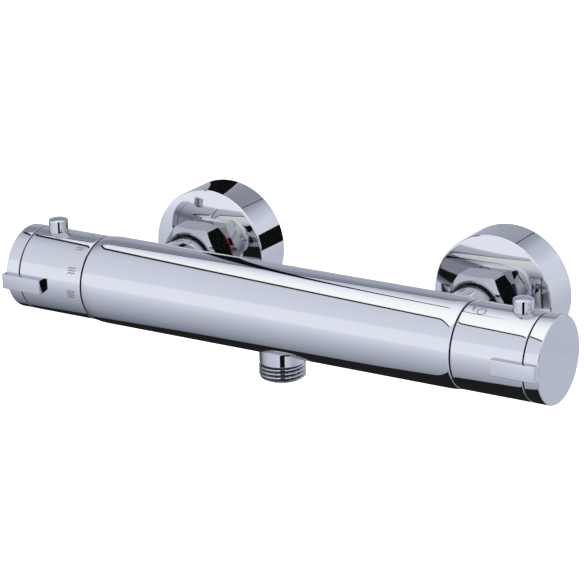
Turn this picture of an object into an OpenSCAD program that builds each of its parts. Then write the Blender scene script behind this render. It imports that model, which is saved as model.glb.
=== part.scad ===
// Thermostatic bar shower valve on two eccentric wall unions, in millimetres.
// X runs along the bar, Y points into the wall and Z is up. The origin lies on the
// wall plane, midway between the two wall threads. Hot is at -X and cold at +X.

/* [Bar] */
// Outside diameter of the valve body
body_d = 40; // [39:0.5:46]
// Length of the valve body beyond the axis of each wall union
body_overhang = 19.5; // [17:0.5:23]
// Length of one knob with its end cap
knob_len = 41.4; // [40:0.2:48]
// Length of the end cap that carries the lever
cap_len = 7.3; // [6.5:0.1:9]
// Visible gap between a knob and the body
knob_gap = 0.6; // [0.3:0.1:1.5]

/* [Lever and button] */
// Length of the lever paddle along the bar
lever_len = 21; // [16:0.5:24]
// Height of the lever paddle
lever_h = 7; // [5:0.5:9]
// How far the paddle stands out from the knob
lever_proud = 3.4; // [3:0.1:6]
// Diameter of the push button
button_d = 9; // [8.4:0.2:9.4]
// Height of the button above the knob
button_proud = 6; // [4.5:0.5:8]
// Travel of the button
button_travel = 2.4; // [1.8:0.1:2.6]

/* [Wall unions] */
// Distance between the two wall threads
inlet_pitch = 150; // [146:1:154]
// Distance from the wall to the centre line of the bar
wall_gap = 76.6; // [76:0.2:90]
// Drop from the bar to the wall threads, which is the offset of each eccentric union
eccentric_drop = 7.5; // [5:0.5:9]
// Length of the thread that goes into the wall
wall_thread_turns = 9; // [7:1:12]
// Outside diameter of a wall flange
flange_d = 58.6; // [54:0.2:66]
// Depth of a wall flange at its rim
flange_depth = 19.6; // [19:0.2:20.4]
// Size of a union nut across its flats
nut_flats = 30; // [29.5:0.5:32]
// Length of a union nut
nut_len = 14.1; // [13.6:0.1:14.2]

/* [Pipe threads] */
// Crest diameter of the half-inch parallel pipe thread
half_inch_d = 20.96; // [20.9:0.01:21]
// Crest diameter of the three-quarter-inch parallel pipe thread
three_quarter_d = 26.44; // [26.4:0.01:26.5]
// Pitch of both pipe threads
thread_pitch = 1.814; // [1.8:0.002:1.83]
// Depth of both pipe threads
thread_depth = 1.162; // [1.1:0.01:1.2]
// Turns of thread on the hose outlet
outlet_turns = 4; // [3:1:5]
// Distance from the centre line of the bar to the bottom of the outlet
outlet_drop = 30.9; // [30:0.1:40]

/* [Motion] */
// Quarter turn of the flow knob, in degrees
flow_turn = 99; // [90:1:110]
// Turn of the temperature knob towards hot, in degrees
hot_turn = 60; // [45:1:70]
// Turn of the temperature knob towards cold, in degrees
cold_turn = 150; // [120:1:160]

/* [Hidden] */
$fn = 72;

// Overrun of every cut past the face that it opens
over = 1;
// Radial clearance of parts that slide or turn in each other
run = 0.05;
// Radial clearance of parts that are fitted and stay still
fit = 0.05;
// Gap between faces that press on each other
face = 0.05;

// Bar
body_r = body_d / 2;
inlet_x = inlet_pitch / 2;
body_end = inlet_x + body_overhang;
end_ease_len = 5;
end_ease = 0.6;
knob_r = body_r - end_ease;
knob_in = body_end + knob_gap;
knob_out = knob_in + knob_len;

// Knob sleeve, end cap and lever
cap_gap = 0.2;
cap_in = knob_out - cap_len;
sleeve_out = cap_in - cap_gap;
sleeve_wall = 1.5;
sleeve_bore = knob_r - sleeve_wall;
cap_wall = 2.2;
cap_bevel = 0.6;
cap_plug_len = 1.1;
cap_plug_wall = 1.4;
lever_clear = 0.1;
// Each cap is pressed in at its own small angle, in degrees down from level
flow_lever_lean = 3.5;
temperature_lever_lean = -1.2;

// Button and its catch
button_inset = 9.3;
button_x = sleeve_out - button_inset;
button_r = button_d / 2;
button_hole_clear = 0.15;
button_top = knob_r + button_proud;
button_bevel = 0.8;
catch_flange_rim = 0.9;
catch_flange_r = button_r + catch_flange_rim;
catch_flange_thick = 1.4;
catch_top = sqrt(pow(sleeve_bore, 2) - pow(catch_flange_r, 2)) - 5 * face;
catch_low = catch_top - catch_flange_thick;
catch_arm_w = 5;
catch_arm_thick = button_travel / 2;
catch_arm_overlap = 2.6;
catch_peg_r = 2.5;
catch_peg_len = 4.2;
catch_stem_r = 2;
catch_stem_len = 5.8;

// Knob carrier
web_inset = 1.2;
web_thick = 2;
web_out = sleeve_out - web_inset;
web_in = web_out - web_thick;
hub_r = 6.6;
spring_seat_thick = 1.2;
spring_seat_w = 11.2;
spring_seat_drop = 6;
spring_seat_top = catch_top - spring_seat_drop;
spring_seat_in = button_x - spring_seat_w / 2;
seat_rib_w = 1.6;
seat_rib_clear = 0.5;
stem_clear = 0.25;

// Spindle ends, shared by both cartridges
neck_to_button = 7.7;
neck_end = button_x - neck_to_button;
neck_r = 8;
spindle_r = 5;
spindle_bore = spindle_r + run;
circlip_thick = 0.9;
circlip_r = 6.8;
circlip_groove_r = 4.2;
circlip_end = neck_end + circlip_thick + 2 * face;
spline_r = 4.4;
spline_count = 6;
spline_key_r = 0.45;
spline_end = web_in - 6 * face;
hub_lead = 1.2;
hub_in = circlip_end + hub_lead;
screw_r = 1.95;
screw_head_r = 3.6;
screw_head_len = 2.8;
screw_key_r = 1.5;
screw_len = 12;
spindle_ring_r = 0.7;
spindle_ring_inset = 5;
spindle_ring_step = 4;

// Stop rings on the cartridge necks
stop_setback = 7;
stop_thick = 3.5;
stop_in = neck_end - stop_setback;
stop_bore = neck_r + fit;
stop_clear = 0.7;
stop_r = sleeve_bore - stop_clear;
stop_finger_reach = button_travel / 3;
stop_finger_low = catch_low - stop_finger_reach;
stop_finger_w = 3.2;
stop_finger_end = button_x - button_r - 6 * face;
stop_margin_deg = 2;
stop_offset_deg = asin(catch_arm_w / 2 / catch_low) + atan(stop_finger_w / 2 / stop_finger_low)
    + stop_margin_deg;

// Inlets, measured from the centre line of the bar towards the wall
neck_out = 38.2;
neck_outer_r = 11.4;
nipple_in = 28;
nipple_thread_r = 9.5;
water_r = 7.5;
valve_seat_r = 8;
cage_wall = 1.1;
nut_front = 39.5;
nut_recess = 1.2;
nut_recess_r = 13.2;
nut_wall = 2.3;
nut_chamfer_r = nut_flats / 2 + 0.1;
nut_back = nut_front + nut_len;
nut_hole_r = neck_outer_r + 4 * fit;
lip_in = nut_front + nut_recess + nut_wall + face;
lip_r = 12.6;
lip_thick = 1.6;
lip_out = lip_in + lip_thick;
seal_thick = 1.9;
seal_bore = 8.6;
seal_r = 12.4;
filter_thick = 0.5;
filter_hole_r = 0.7;
filter_step = 2.4;

// Eccentric unions
big_r = three_quarter_d / 2;
small_r = half_inch_d / 2;
big_in = lip_out + seal_thick + 2 * face;
big_turns = 8;
big_bore = 8.5;
small_bore = 7.2;
joint_len = 3;
big_end = big_in + big_turns * thread_pitch;

// Wall flanges
flange_r = flange_d / 2;
flange_front = wall_gap - flange_depth;
dome_rise = 3;
dome_r = pow(flange_r, 2) / (2 * dome_rise);
flange_wall = 1.8;
flange_skin = 2;
flange_bevel = 0.7;
flange_hub_wall = 2.4;
marker_thick = 0.8;
marker_r = 14.8;
flange_hole_r = big_r + fit;
hub_end = big_end;

// Check valves in the inlets
check_in = nipple_in + 2;
check_inset = 0.7;
check_out = lip_out - check_inset;
check_seat_len = 2;
check_seat_bore = 5.2;
check_spider_len = 2;
check_hub_r = 2.6;
check_arm_w = 1.4;
poppet_r = 6.2;
poppet_thick = 1.7;
poppet_stem_r = 1.5;

// Waterways in the body
central_r = 8;
throttle_r = 5.5;
hot_duct_r = 3.2;
hot_duct_y = 14.6;
outlet_duct_r = 2.6;
outlet_duct_z = 12.6;
outlet_boss_r = 10.2;
outlet_bore = 6.5;
outlet_top = 15.4;
outlet_roof = 9.4;
outlet_thread_top = outlet_drop - outlet_turns * thread_pitch;

// Flow headwork, measured from the middle of the bar outwards
flow_seat = body_end - 34.5;
throttle_len = 10;
central_in = flow_seat - throttle_len;
flow_chamber_r = 9.6;
flow_shell_r = 8.8;
flow_shell_bore = 7.4;
flow_thread_len = 10.5;
flow_ring_seat_len = 1.5;
flow_ring_seat_r = 12;
flow_ring_r = 0.7;
flow_shell_in = flow_seat + 1;
flow_bore_end = flow_seat + 21;
flow_seal_len = 5.9;
flow_seal_bore = 5.4;
disc_thick = 3;
disc_r = 7.3;
disc_hole_r = 2.3;
disc_hole_place = 4;
drive_tongue_len = 1.4;
drive_tongue_w = 3;
flow_head_len = 1.6;
flow_guide_len = 1.8;
flow_waist_r = 4;
flow_hex_len = 4.4;
flow_hex_r = 13.86;
flow_window_w = 8;
flow_window_len = 5;
flow_port_x = flow_seat + 17;
flow_port_r = 2.2;

// Thermostat chamber, measured from the middle of the bar outwards
mouth_len = 8;
mouth_wall = 3;
mouth_r = body_r - mouth_wall;
chamber_r = 15.5;
chamber_len = 42.5;
mouth_in = body_end - mouth_len;
chamber_in = mouth_in - chamber_len;
nose_r = 9.8;
nose_seat_r = 10;
nose_len = 7;
nose_bore = 6.5;
port_zone_r = 13;
port_land_r = 15.2;
port_bore = 11;
port_seat_bore = 9;
port_window_w = 7;
port_window_len = 4;
hot_seat = chamber_in + 8;
hot_zone_end = chamber_in + 14;
mid_land_end = chamber_in + 21;
cold_zone_end = chamber_in + 37;
cold_seat = chamber_in + 30;
land_ring_r = 1;
nose_ring_r = 0.8;
ring_squeeze = 0.02;
groove_side = 0.15;
strainer_wall = 0.4;
strainer_slot_w = 1.2;

// Bonnet and its ring nut
flange_ring_clear = 0.4;
flange_ring_r = mouth_r - flange_ring_clear;
flange_ring_len = 2.5;
bonnet_plug_r = port_bore - fit;
bonnet_bore = 8.2;
bonnet_bore_end = body_end + 2.5;
bonnet_shoulder_r = 10.2;
bonnet_shoulder_end = bonnet_bore_end + 1.5;
bonnet_key_r = 0.8;
ring_nut_len = 6.9;
ring_nut_slot_w = 4;
ring_nut_slot_len = 2;
ring_nut_bore = bonnet_shoulder_r + 4 * fit;

// Mixing parts
hot_gap = 1.2;
cold_gap = 1.4;
shuttle_in = hot_seat + hot_gap;
shuttle_out = cold_seat - cold_gap;
shuttle_r = port_bore - 2 * run;
shuttle_wall = 1.7;
shuttle_web_in = chamber_in + 17;
shuttle_web_len = 2;
shuttle_hole_r = 1.3;
shuttle_hole_count = 6;
shuttle_hole_place = 6.9;
shuttle_ring_r = 0.6;
bulb_r = 4.5;
bulb_in = chamber_in - 2;
wax_flange_r = 6.4;
wax_flange_len = 1.6;
wax_guide_r = 3;
wax_guide_end = cold_seat;
piston_r = 1.4;
return_spring_r = 8;
return_wire_r = 0.5;
return_turns = 6;

// Drive nut and overtravel parts
drive_in = cold_seat + 4.5;
drive_len = 13.5;
drive_out = drive_in + drive_len;
drive_r = bonnet_bore - 2 * run;
drive_lip_len = 1.1;
drive_lip_bore = 4.3;
drive_cavity_r = 5.6;
drive_thread_len = 4;
drive_thread_r = 3.95;
drive_key_r = 0.9;
cup_thick = 1.3;
overtravel_spring_r = 4.8;
overtravel_wire_r = 0.4;
overtravel_turns = 4;
collar_r = 7;
collar_len = 2.7;

// Coil springs of the buttons and check valves
button_spring_r = 3.3;
button_wire_r = 0.3;
button_turns = 3.5;
check_spring_r = 3.4;
check_wire_r = 0.3;
check_turns = 6;
coil_sides = 6;
coil_rings_per_turn = 8;

// Cylinders between two places on an axis of the bar
module along_x(from, to, r) {
    translate([from, 0, 0]) rotate([0, 90, 0]) cylinder(h = to - from, r = r);
}
module cone_x(from, to, r_from, r_to) {
    translate([from, 0, 0]) rotate([0, 90, 0]) cylinder(h = to - from, r1 = r_from, r2 = r_to);
}
module along_y(from, to, r) {
    translate([0, from, 0]) rotate([-90, 0, 0]) cylinder(h = to - from, r = r);
}
module along_z(from, to, r) {
    translate([0, 0, from]) cylinder(h = to - from, r = r);
}
module tube_x(from, to, r_out, r_in) {
    difference() {
        along_x(from, to, r_out);
        along_x(from - over, to + over, r_in);
    }
}
module tube_y(from, to, r_out, r_in) {
    difference() {
        along_y(from, to, r_out);
        along_y(from - over, to + over, r_in);
    }
}

// Seal ring of round section about the X axis
module ring_x(place, ring_r, section_r) {
    translate([place, 0, 0]) rotate([0, 90, 0])
        rotate_extrude() translate([ring_r, 0]) circle(r = section_r, $fn = 24);
}
// Groove that a seal ring of the given section sits in, cut into a shaft
module ring_groove_x(place, shaft_r, ring_r, section_r) {
    half = section_r + groove_side;
    tube_x(place - half, place + half, shaft_r + over, ring_r - section_r);
}

// Pipe thread as rings of crest and root along Z, from zero upwards
module thread_rings(crest_r, turns) {
    crest_shares = [0.3, 0.7];
    root_r = crest_r - thread_depth;
    points = [for (i = [0 : turns - 1]) each [
        [root_r, i * thread_pitch],
        [crest_r, (i + crest_shares[0]) * thread_pitch],
        [crest_r, (i + crest_shares[1]) * thread_pitch]
    ]];
    rotate_extrude() polygon(concat(
        [[0, 0]], points, [[root_r, turns * thread_pitch], [0, turns * thread_pitch]]));
}
module thread_y(from, crest_r, turns) {
    translate([0, from, 0]) rotate([-90, 0, 0]) thread_rings(crest_r, turns);
}

// Helical wire of the given coil radius along Z, as one closed tube
module coil(coil_r, wire_r, turns, height) {
    steps = round(turns * coil_rings_per_turn);
    rise = height - 2 * wire_r;
    points = [for (i = [0 : steps]) let (
        a = 360 * turns * i / steps,
        z = wire_r + rise * i / steps
    ) for (k = [0 : coil_sides - 1]) let (
        b = 360 * k / coil_sides,
        r = coil_r + wire_r * cos(b)
    ) [r * cos(a), r * sin(a), z + wire_r * sin(b)]];
    sides = [for (i = [0 : steps - 1]) for (k = [0 : coil_sides - 1]) let (
        a = i * coil_sides + k,
        b = i * coil_sides + (k + 1) % coil_sides
    ) each [[a, b, b + coil_sides], [a, b + coil_sides, a + coil_sides]]];
    ends = [for (k = [1 : coil_sides - 2]) each [
        [0, k + 1, k],
        [steps * coil_sides, steps * coil_sides + k, steps * coil_sides + k + 1]
    ]];
    polyhedron(points = points, faces = concat([for (f = sides) [f[0], f[2], f[1]]],
        [for (f = ends) [f[0], f[2], f[1]]]));
}

// Puts what is modelled about the bar's centre line in its place off the wall
module at_bar() {
    translate([0, -wall_gap, eccentric_drop]) children();
}
module at_hot_inlet() {
    at_bar() translate([-inlet_x, 0, 0]) children();
}
module at_cold_inlet() {
    at_bar() translate([inlet_x, 0, 0]) children();
}
// The flow side is modelled outwards along +X and mirrored to the hot end
module at_flow_end() {
    at_bar() mirror([1, 0, 0]) children();
}

// Valve body
module body_outside() {
    along_x(-body_end + end_ease_len, body_end - end_ease_len, body_r);
    cone_x(body_end - end_ease_len, body_end, body_r, knob_r);
    cone_x(-body_end, -body_end + end_ease_len, knob_r, body_r);
    for (x = [-inlet_x, inlet_x]) translate([x, 0, 0]) along_y(0, neck_out, neck_outer_r);
}
module valve_body() {
    color("gainsboro") at_bar() difference() {
        body_outside();
        // thermostat chamber at the cold end
        along_x(mouth_in, body_end + over, mouth_r);
        along_x(chamber_in, mouth_in + over, chamber_r);
        along_x(chamber_in - nose_len - face, chamber_in + over, nose_seat_r);
        along_x(-central_in, chamber_in, central_r);
        // headwork chamber at the hot end
        along_x(-flow_seat, -central_in + over, throttle_r);
        along_x(-body_end - over, -flow_seat, flow_chamber_r);
        along_x(-body_end - over, -body_end + flow_thread_len, small_r);
        along_x(-body_end - over, -body_end + flow_ring_seat_len, flow_ring_seat_r);
        // inlets
        for (x = [-inlet_x, inlet_x]) translate([x, 0, 0]) {
            along_y(nipple_in - 4 * face, neck_out + over, nipple_thread_r + fit);
            along_y(hot_duct_y - hot_duct_r / 2, neck_out, water_r);
        }
        // hot duct to the thermostat
        translate([0, hot_duct_y, 0]) along_x(-inlet_x, hot_seat, hot_duct_r);
        // mixed water duct from the headwork to the outlet
        translate([0, 0, -outlet_duct_z]) along_x(-flow_port_x - flow_port_r - over, 0, outlet_duct_r);
        translate([-flow_port_x, 0, 0]) along_z(-outlet_duct_z, -flow_chamber_r + over, flow_port_r);
        along_z(-outlet_top - over, -outlet_roof, outlet_bore);
        along_z(-body_r - over, -outlet_top, outlet_boss_r + fit);
    }
}
module outlet_nipple() {
    chamfer = thread_depth;
    color("gainsboro") at_bar() difference() {
        union() {
            along_z(-outlet_thread_top, -outlet_top - face, outlet_boss_r);
            translate([0, 0, -outlet_drop]) thread_rings(small_r, outlet_turns);
        }
        along_z(-outlet_drop - over, 0, outlet_bore);
        translate([0, 0, -outlet_drop]) difference() {
            along_z(-over, thread_pitch / 2, small_r + over);
            translate([0, 0, -over]) cylinder(
                h = over + thread_pitch / 2, r1 = small_r - chamfer - over, r2 = small_r - chamfer / 2);
        }
    }
}

// Unions, modelled about an inlet's own axis
module inlet_nipple() {
    difference() {
        union() {
            along_y(nipple_in, neck_out + face, nipple_thread_r);
            along_y(neck_out + face, lip_in + over, neck_outer_r);
            along_y(lip_in, lip_out, lip_r);
        }
        along_y(check_in - face, lip_out + over, valve_seat_r + fit);
        along_y(nipple_in - over, lip_out, water_r - cage_wall / 2);
    }
}
module union_nut() {
    hex_r = nut_flats / 2 / cos(30);
    rim_r = hex_r + over;
    slope = (rim_r - nut_chamfer_r) / sqrt(3);
    difference() {
        intersection() {
            translate([0, nut_front, 0]) rotate([-90, 0, 0]) cylinder(h = nut_len, r = hex_r, $fn = 6);
            translate([0, nut_front, 0]) rotate([-90, 0, 0]) rotate_extrude() polygon([
                [0, 0], [nut_chamfer_r, 0], [rim_r, slope], [rim_r, nut_len - slope],
                [nut_chamfer_r, nut_len], [0, nut_len]]);
        }
        along_y(nut_front - over, nut_front + nut_recess, nut_recess_r);
        along_y(nut_front, nut_back, nut_hole_r);
        along_y(lip_in - face, nut_back + over, big_r + fit);
    }
}
module eccentric() {
    stub_top = big_end + joint_len;
    difference() {
        union() {
            thread_y(big_in, big_r, big_turns);
            along_y(big_end, stub_top, big_r - thread_depth);
            translate([0, 0, -eccentric_drop]) {
                along_y(big_end + face, wall_gap, small_r - thread_depth);
                thread_y(wall_gap, small_r, wall_thread_turns);
            }
        }
        along_y(big_in - over, stub_top - thread_depth, big_bore);
        translate([0, 0, -eccentric_drop])
            along_y(big_end + thread_depth, wall_gap + wall_thread_turns * thread_pitch + over, small_bore);
    }
}
module flange_dome(depth, r) {
    intersection() {
        along_y(flange_front - dome_rise + depth - over, wall_gap + over, r);
        translate([0, flange_front - dome_rise + depth + dome_r, 0]) sphere(r = dome_r, $fn = 180);
    }
}
module wall_flange() {
    difference() {
        intersection() {
            flange_dome(0, flange_r);
            union() {
                translate([0, flange_front - dome_rise, 0]) rotate([-90, 0, 0])
                    cylinder(h = dome_rise + flange_bevel, r1 = flange_r - flange_bevel - dome_rise,
                        r2 = flange_r);
                along_y(flange_front + flange_bevel, wall_gap, flange_r);
            }
        }
        difference() {
            flange_dome(flange_skin, flange_r - flange_wall);
            along_y(flange_front - dome_rise, hub_end, flange_hole_r + flange_hub_wall);
        }
        along_y(flange_front - dome_rise - over, wall_gap, flange_hole_r);
    }
}
module marker_ring() {
    tube_y(nut_back + face, nut_back + face + marker_thick, marker_r, flange_hole_r);
}
module union_seal() {
    tube_y(lip_out + face, lip_out + face + seal_thick, seal_r, seal_bore);
}
module inlet_filter() {
    middle = lip_out + seal_thick / 2;
    places = [for (i = [-2 : 2]) for (k = [-2 : 2]) if (abs(i + k) < 3) [i + k / 2, k * sqrt(3) / 2]];
    difference() {
        along_y(middle, middle + filter_thick, seal_bore - fit);
        for (p = places) translate([p[0] * filter_step, 0, p[1] * filter_step])
            along_y(middle - over, middle + filter_thick + over, filter_hole_r, $fn = 16);
    }
}
module check_cage() {
    tube_y(check_in, check_out - check_seat_len + face, valve_seat_r, valve_seat_r - cage_wall);
    tube_y(check_out - check_seat_len, check_out, valve_seat_r, check_seat_bore);
    difference() {
        intersection() {
            along_y(check_in, check_in + check_spider_len, valve_seat_r);
            union() {
                along_y(check_in, check_in + check_spider_len, check_hub_r);
                for (a = [0, 120, 240]) rotate([0, a, 0])
                    translate([0, check_in, -check_arm_w / 2])
                        cube([valve_seat_r, check_spider_len, check_arm_w]);
            }
        }
        along_y(check_in - over, check_in + check_spider_len + over, poppet_stem_r + run);
    }
}
module check_poppet() {
    disc_out = check_out - check_seat_len - face;
    along_y(disc_out - poppet_thick, disc_out, poppet_r);
    along_y(check_in + face, disc_out - poppet_thick + face, poppet_stem_r);
}
module check_spring() {
    from = check_in + check_spider_len + face;
    to = check_out - check_seat_len - poppet_thick - 2 * face;
    translate([0, from, 0]) rotate([-90, 0, 0])
        coil(check_spring_r, check_wire_r, check_turns, to - from);
}

module hot_inlet_nipple() { color("silver") at_hot_inlet() inlet_nipple(); }
module cold_inlet_nipple() { color("silver") at_cold_inlet() inlet_nipple(); }
module hot_union_nut() { color("gainsboro") at_hot_inlet() union_nut(); }
module cold_union_nut() { color("gainsboro") at_cold_inlet() union_nut(); }
module hot_eccentric() { color("silver") at_hot_inlet() eccentric(); }
module cold_eccentric() { color("silver") at_cold_inlet() eccentric(); }
module hot_flange() { color("gainsboro") at_hot_inlet() wall_flange(); }
module cold_flange() { color("gainsboro") at_cold_inlet() wall_flange(); }
module hot_marker_ring() { color("firebrick") at_hot_inlet() marker_ring(); }
module cold_marker_ring() { color("navy") at_cold_inlet() marker_ring(); }
module hot_check_poppet() { color("ivory") at_hot_inlet() check_poppet(); }
module cold_check_poppet() { color("ivory") at_cold_inlet() check_poppet(); }
module hot_check_spring() { color("lightsteelblue") at_hot_inlet() check_spring(); }
module cold_check_spring() { color("lightsteelblue") at_cold_inlet() check_spring(); }
module union_seals() {
    color("dimgray") {
        at_hot_inlet() union_seal();
        at_cold_inlet() union_seal();
    }
}
module inlet_filters() {
    color("lightsteelblue") {
        at_hot_inlet() inlet_filter();
        at_cold_inlet() inlet_filter();
    }
}
module check_valve_cages() {
    color("white") {
        at_hot_inlet() check_cage();
        at_cold_inlet() check_cage();
    }
}

// Thermostat cartridge at the cold end
module land_ring_place(place) {
    ring_x(place, chamber_r - ring_squeeze - land_ring_r, land_ring_r);
}
module thermostat_port_body() {
    land_ring = chamber_r - ring_squeeze - land_ring_r;
    nose_ring = nose_seat_r - ring_squeeze - nose_ring_r;
    color("dimgray") at_bar() difference() {
        union() {
            along_x(chamber_in - nose_len, chamber_in + over, nose_r);
            along_x(chamber_in + 4 * face, mouth_in - face, port_zone_r);
            along_x(hot_zone_end, mid_land_end, port_land_r);
            along_x(cold_zone_end, mouth_in - face, port_land_r);
        }
        along_x(chamber_in - nose_len - over, chamber_in + over, nose_bore);
        along_x(chamber_in, hot_seat + over, port_seat_bore);
        along_x(hot_seat, mouth_in + over, port_bore);
        for (seat = [hot_seat, cold_seat - port_window_len], a = [0, 90]) rotate([a, 0, 0])
            translate([seat, -port_land_r, -port_window_w / 2])
                cube([port_window_len, 2 * port_land_r, port_window_w]);
        ring_groove_x((hot_zone_end + mid_land_end) / 2, port_land_r, land_ring, land_ring_r);
        ring_groove_x((cold_zone_end + mouth_in) / 2, port_land_r, land_ring, land_ring_r);
        ring_groove_x(chamber_in - nose_len / 2, nose_r, nose_ring, nose_ring_r);
    }
}
module thermostat_o_rings() {
    color("black") at_bar() {
        land_ring_place((hot_zone_end + mid_land_end) / 2);
        land_ring_place((cold_zone_end + mouth_in) / 2);
        ring_x(chamber_in - nose_len / 2, nose_seat_r - ring_squeeze - nose_ring_r, nose_ring_r);
    }
}
module strainer(from, to) {
    difference() {
        tube_x(from, to, port_zone_r + fit + strainer_wall, port_zone_r + fit);
        for (a = [0 : 30 : 150]) rotate([a, 0, 0])
            translate([from + over, -port_land_r, -strainer_slot_w / 2])
                cube([to - from - 2 * over, 2 * port_land_r, strainer_slot_w]);
    }
}
module thermostat_strainers() {
    color("lightsteelblue") at_bar() {
        strainer(chamber_in + over, hot_zone_end - 2 * face);
        strainer(mid_land_end + 2 * face, cold_zone_end - 2 * face);
    }
}
module thermostat_bonnet() {
    flange_end = mouth_in + flange_ring_len;
    color("goldenrod") at_bar() {
        difference() {
            union() {
                along_x(cold_seat, mouth_in + face, bonnet_plug_r);
                along_x(mouth_in, flange_end, flange_ring_r);
                along_x(mouth_in, bonnet_shoulder_end, bonnet_shoulder_r);
                along_x(mouth_in, neck_end, neck_r);
            }
            along_x(cold_seat - over, bonnet_bore_end, bonnet_bore);
            along_x(cold_seat, neck_end + over, spindle_bore);
        }
        for (y = [-bonnet_bore, bonnet_bore]) translate([0, y, 0])
            along_x(cold_seat, bonnet_bore_end, bonnet_key_r);
    }
}
module thermostat_ring_nut() {
    from = mouth_in + flange_ring_len + face;
    to = from + ring_nut_len;
    color("darkkhaki") at_bar() difference() {
        tube_x(from, to, mouth_r - fit, ring_nut_bore);
        for (a = [0, 90]) rotate([a, 0, 0])
            translate([to - ring_nut_slot_len, -mouth_r - over, -ring_nut_slot_w / 2])
                cube([ring_nut_slot_len + over, 2 * (mouth_r + over), ring_nut_slot_w]);
    }
}
module mixing_shuttle() {
    ring = port_bore - run - shuttle_ring_r;
    inner_r = shuttle_r - shuttle_wall;
    web_out = shuttle_web_in + shuttle_web_len;
    color("ivory") at_bar() difference() {
        along_x(shuttle_in, shuttle_out, shuttle_r);
        along_x(shuttle_in - over, shuttle_web_in, inner_r);
        along_x(web_out, shuttle_out + over, inner_r);
        along_x(shuttle_in, shuttle_out, bulb_r + fit);
        for (i = [0 : shuttle_hole_count - 1]) rotate([360 * i / shuttle_hole_count, 0, 0])
            translate([0, 0, shuttle_hole_place])
                along_x(shuttle_web_in - over, web_out + over, shuttle_hole_r);
        ring_groove_x(shuttle_web_in + shuttle_web_len / 2, shuttle_r, ring, shuttle_ring_r);
    }
}
module shuttle_o_ring() {
    color("black") at_bar()
        ring_x(shuttle_web_in + shuttle_web_len / 2, port_bore - run - shuttle_ring_r, shuttle_ring_r);
}
module wax_element() {
    flange_in = shuttle_web_in + shuttle_web_len + face;
    color("peru") at_bar() difference() {
        union() {
            along_x(bulb_in, flange_in + wax_flange_len, bulb_r);
            along_x(flange_in, flange_in + wax_flange_len, wax_flange_r);
            along_x(flange_in, wax_guide_end, wax_guide_r);
        }
        along_x(flange_in, wax_guide_end + over, piston_r + run);
    }
}
module wax_piston() {
    color("silver") at_bar()
        along_x(shuttle_web_in + shuttle_web_len + wax_flange_len, drive_in - face, piston_r);
}
module mixing_return_spring() {
    from = chamber_in + face;
    to = shuttle_web_in - face;
    color("lightsteelblue") at_bar() translate([from, 0, 0]) rotate([0, 90, 0])
        coil(return_spring_r, return_wire_r, return_turns, to - from);
}
module overtravel_cup() {
    seat = drive_in + drive_lip_len + face;
    color("silver") at_bar() {
        along_x(drive_in, seat + face, drive_lip_bore - 2 * run);
        along_x(seat, seat + cup_thick, drive_cavity_r - 2 * run);
    }
}
module overtravel_spring() {
    from = drive_in + drive_lip_len + cup_thick + 2 * face;
    to = drive_out - drive_thread_len - face;
    color("lightsteelblue") at_bar() translate([from, 0, 0]) rotate([0, 90, 0])
        coil(overtravel_spring_r, overtravel_wire_r, overtravel_turns, to - from);
}
module drive_nut() {
    color("goldenrod") at_bar() difference() {
        along_x(drive_in, drive_out, drive_r);
        along_x(drive_in - over, drive_out, drive_lip_bore);
        along_x(drive_in + drive_lip_len, drive_out - drive_thread_len, drive_cavity_r);
        along_x(drive_in, drive_out + over, drive_thread_r + run);
        for (y = [-bonnet_bore, bonnet_bore]) translate([0, y, 0])
            along_x(drive_in - over, drive_out + over, drive_key_r);
    }
}

// Parts that both cartridges share, modelled outwards along +X
module spindle_end(shaft_from) {
    difference() {
        union() {
            along_x(shaft_from, neck_end + face, spindle_r);
            along_x(neck_end, circlip_end, circlip_groove_r);
            along_x(circlip_end, spline_end, spline_r);
        }
        for (i = [0 : spline_count - 1]) rotate([360 * i / spline_count, 0, 0])
            translate([0, 0, spline_r])
                along_x(circlip_end, spline_end + over, spline_key_r + fit);
        along_x(web_out - screw_len - over, spline_end + over, screw_r + fit);
        for (i = [0, 1]) ring_groove_x(neck_end - spindle_ring_inset - i * spindle_ring_step,
            spindle_r, spindle_r - spindle_ring_r, spindle_ring_r);
    }
}
module spindle_o_rings() {
    for (i = [0, 1]) ring_x(neck_end - spindle_ring_inset - i * spindle_ring_step,
        spindle_r + run / 2 - spindle_ring_r, spindle_ring_r);
}
module circlip() {
    from = neck_end + face;
    gap_w = circlip_groove_r;
    difference() {
        tube_x(from, from + circlip_thick, circlip_r, circlip_groove_r + fit);
        translate([from - over, -gap_w / 2, 0]) cube([circlip_thick + 2 * over, gap_w, circlip_r + over]);
    }
}
module stop_finger() {
    translate([stop_in, -stop_finger_w / 2, stop_finger_low])
        cube([stop_finger_end - stop_in, stop_finger_w, stop_r - stop_finger_low]);
}
module stop_ring(first_deg, last_deg) {
    tube_x(stop_in, stop_in + stop_thick, stop_r, stop_bore);
    for (a = [first_deg, last_deg]) rotate([a, 0, 0]) stop_finger();
}
module knob_sleeve() {
    difference() {
        tube_x(knob_in, sleeve_out, knob_r, sleeve_bore);
        translate([button_x, 0, 0]) along_z(0, knob_r + over, button_r + button_hole_clear);
    }
}
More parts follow.
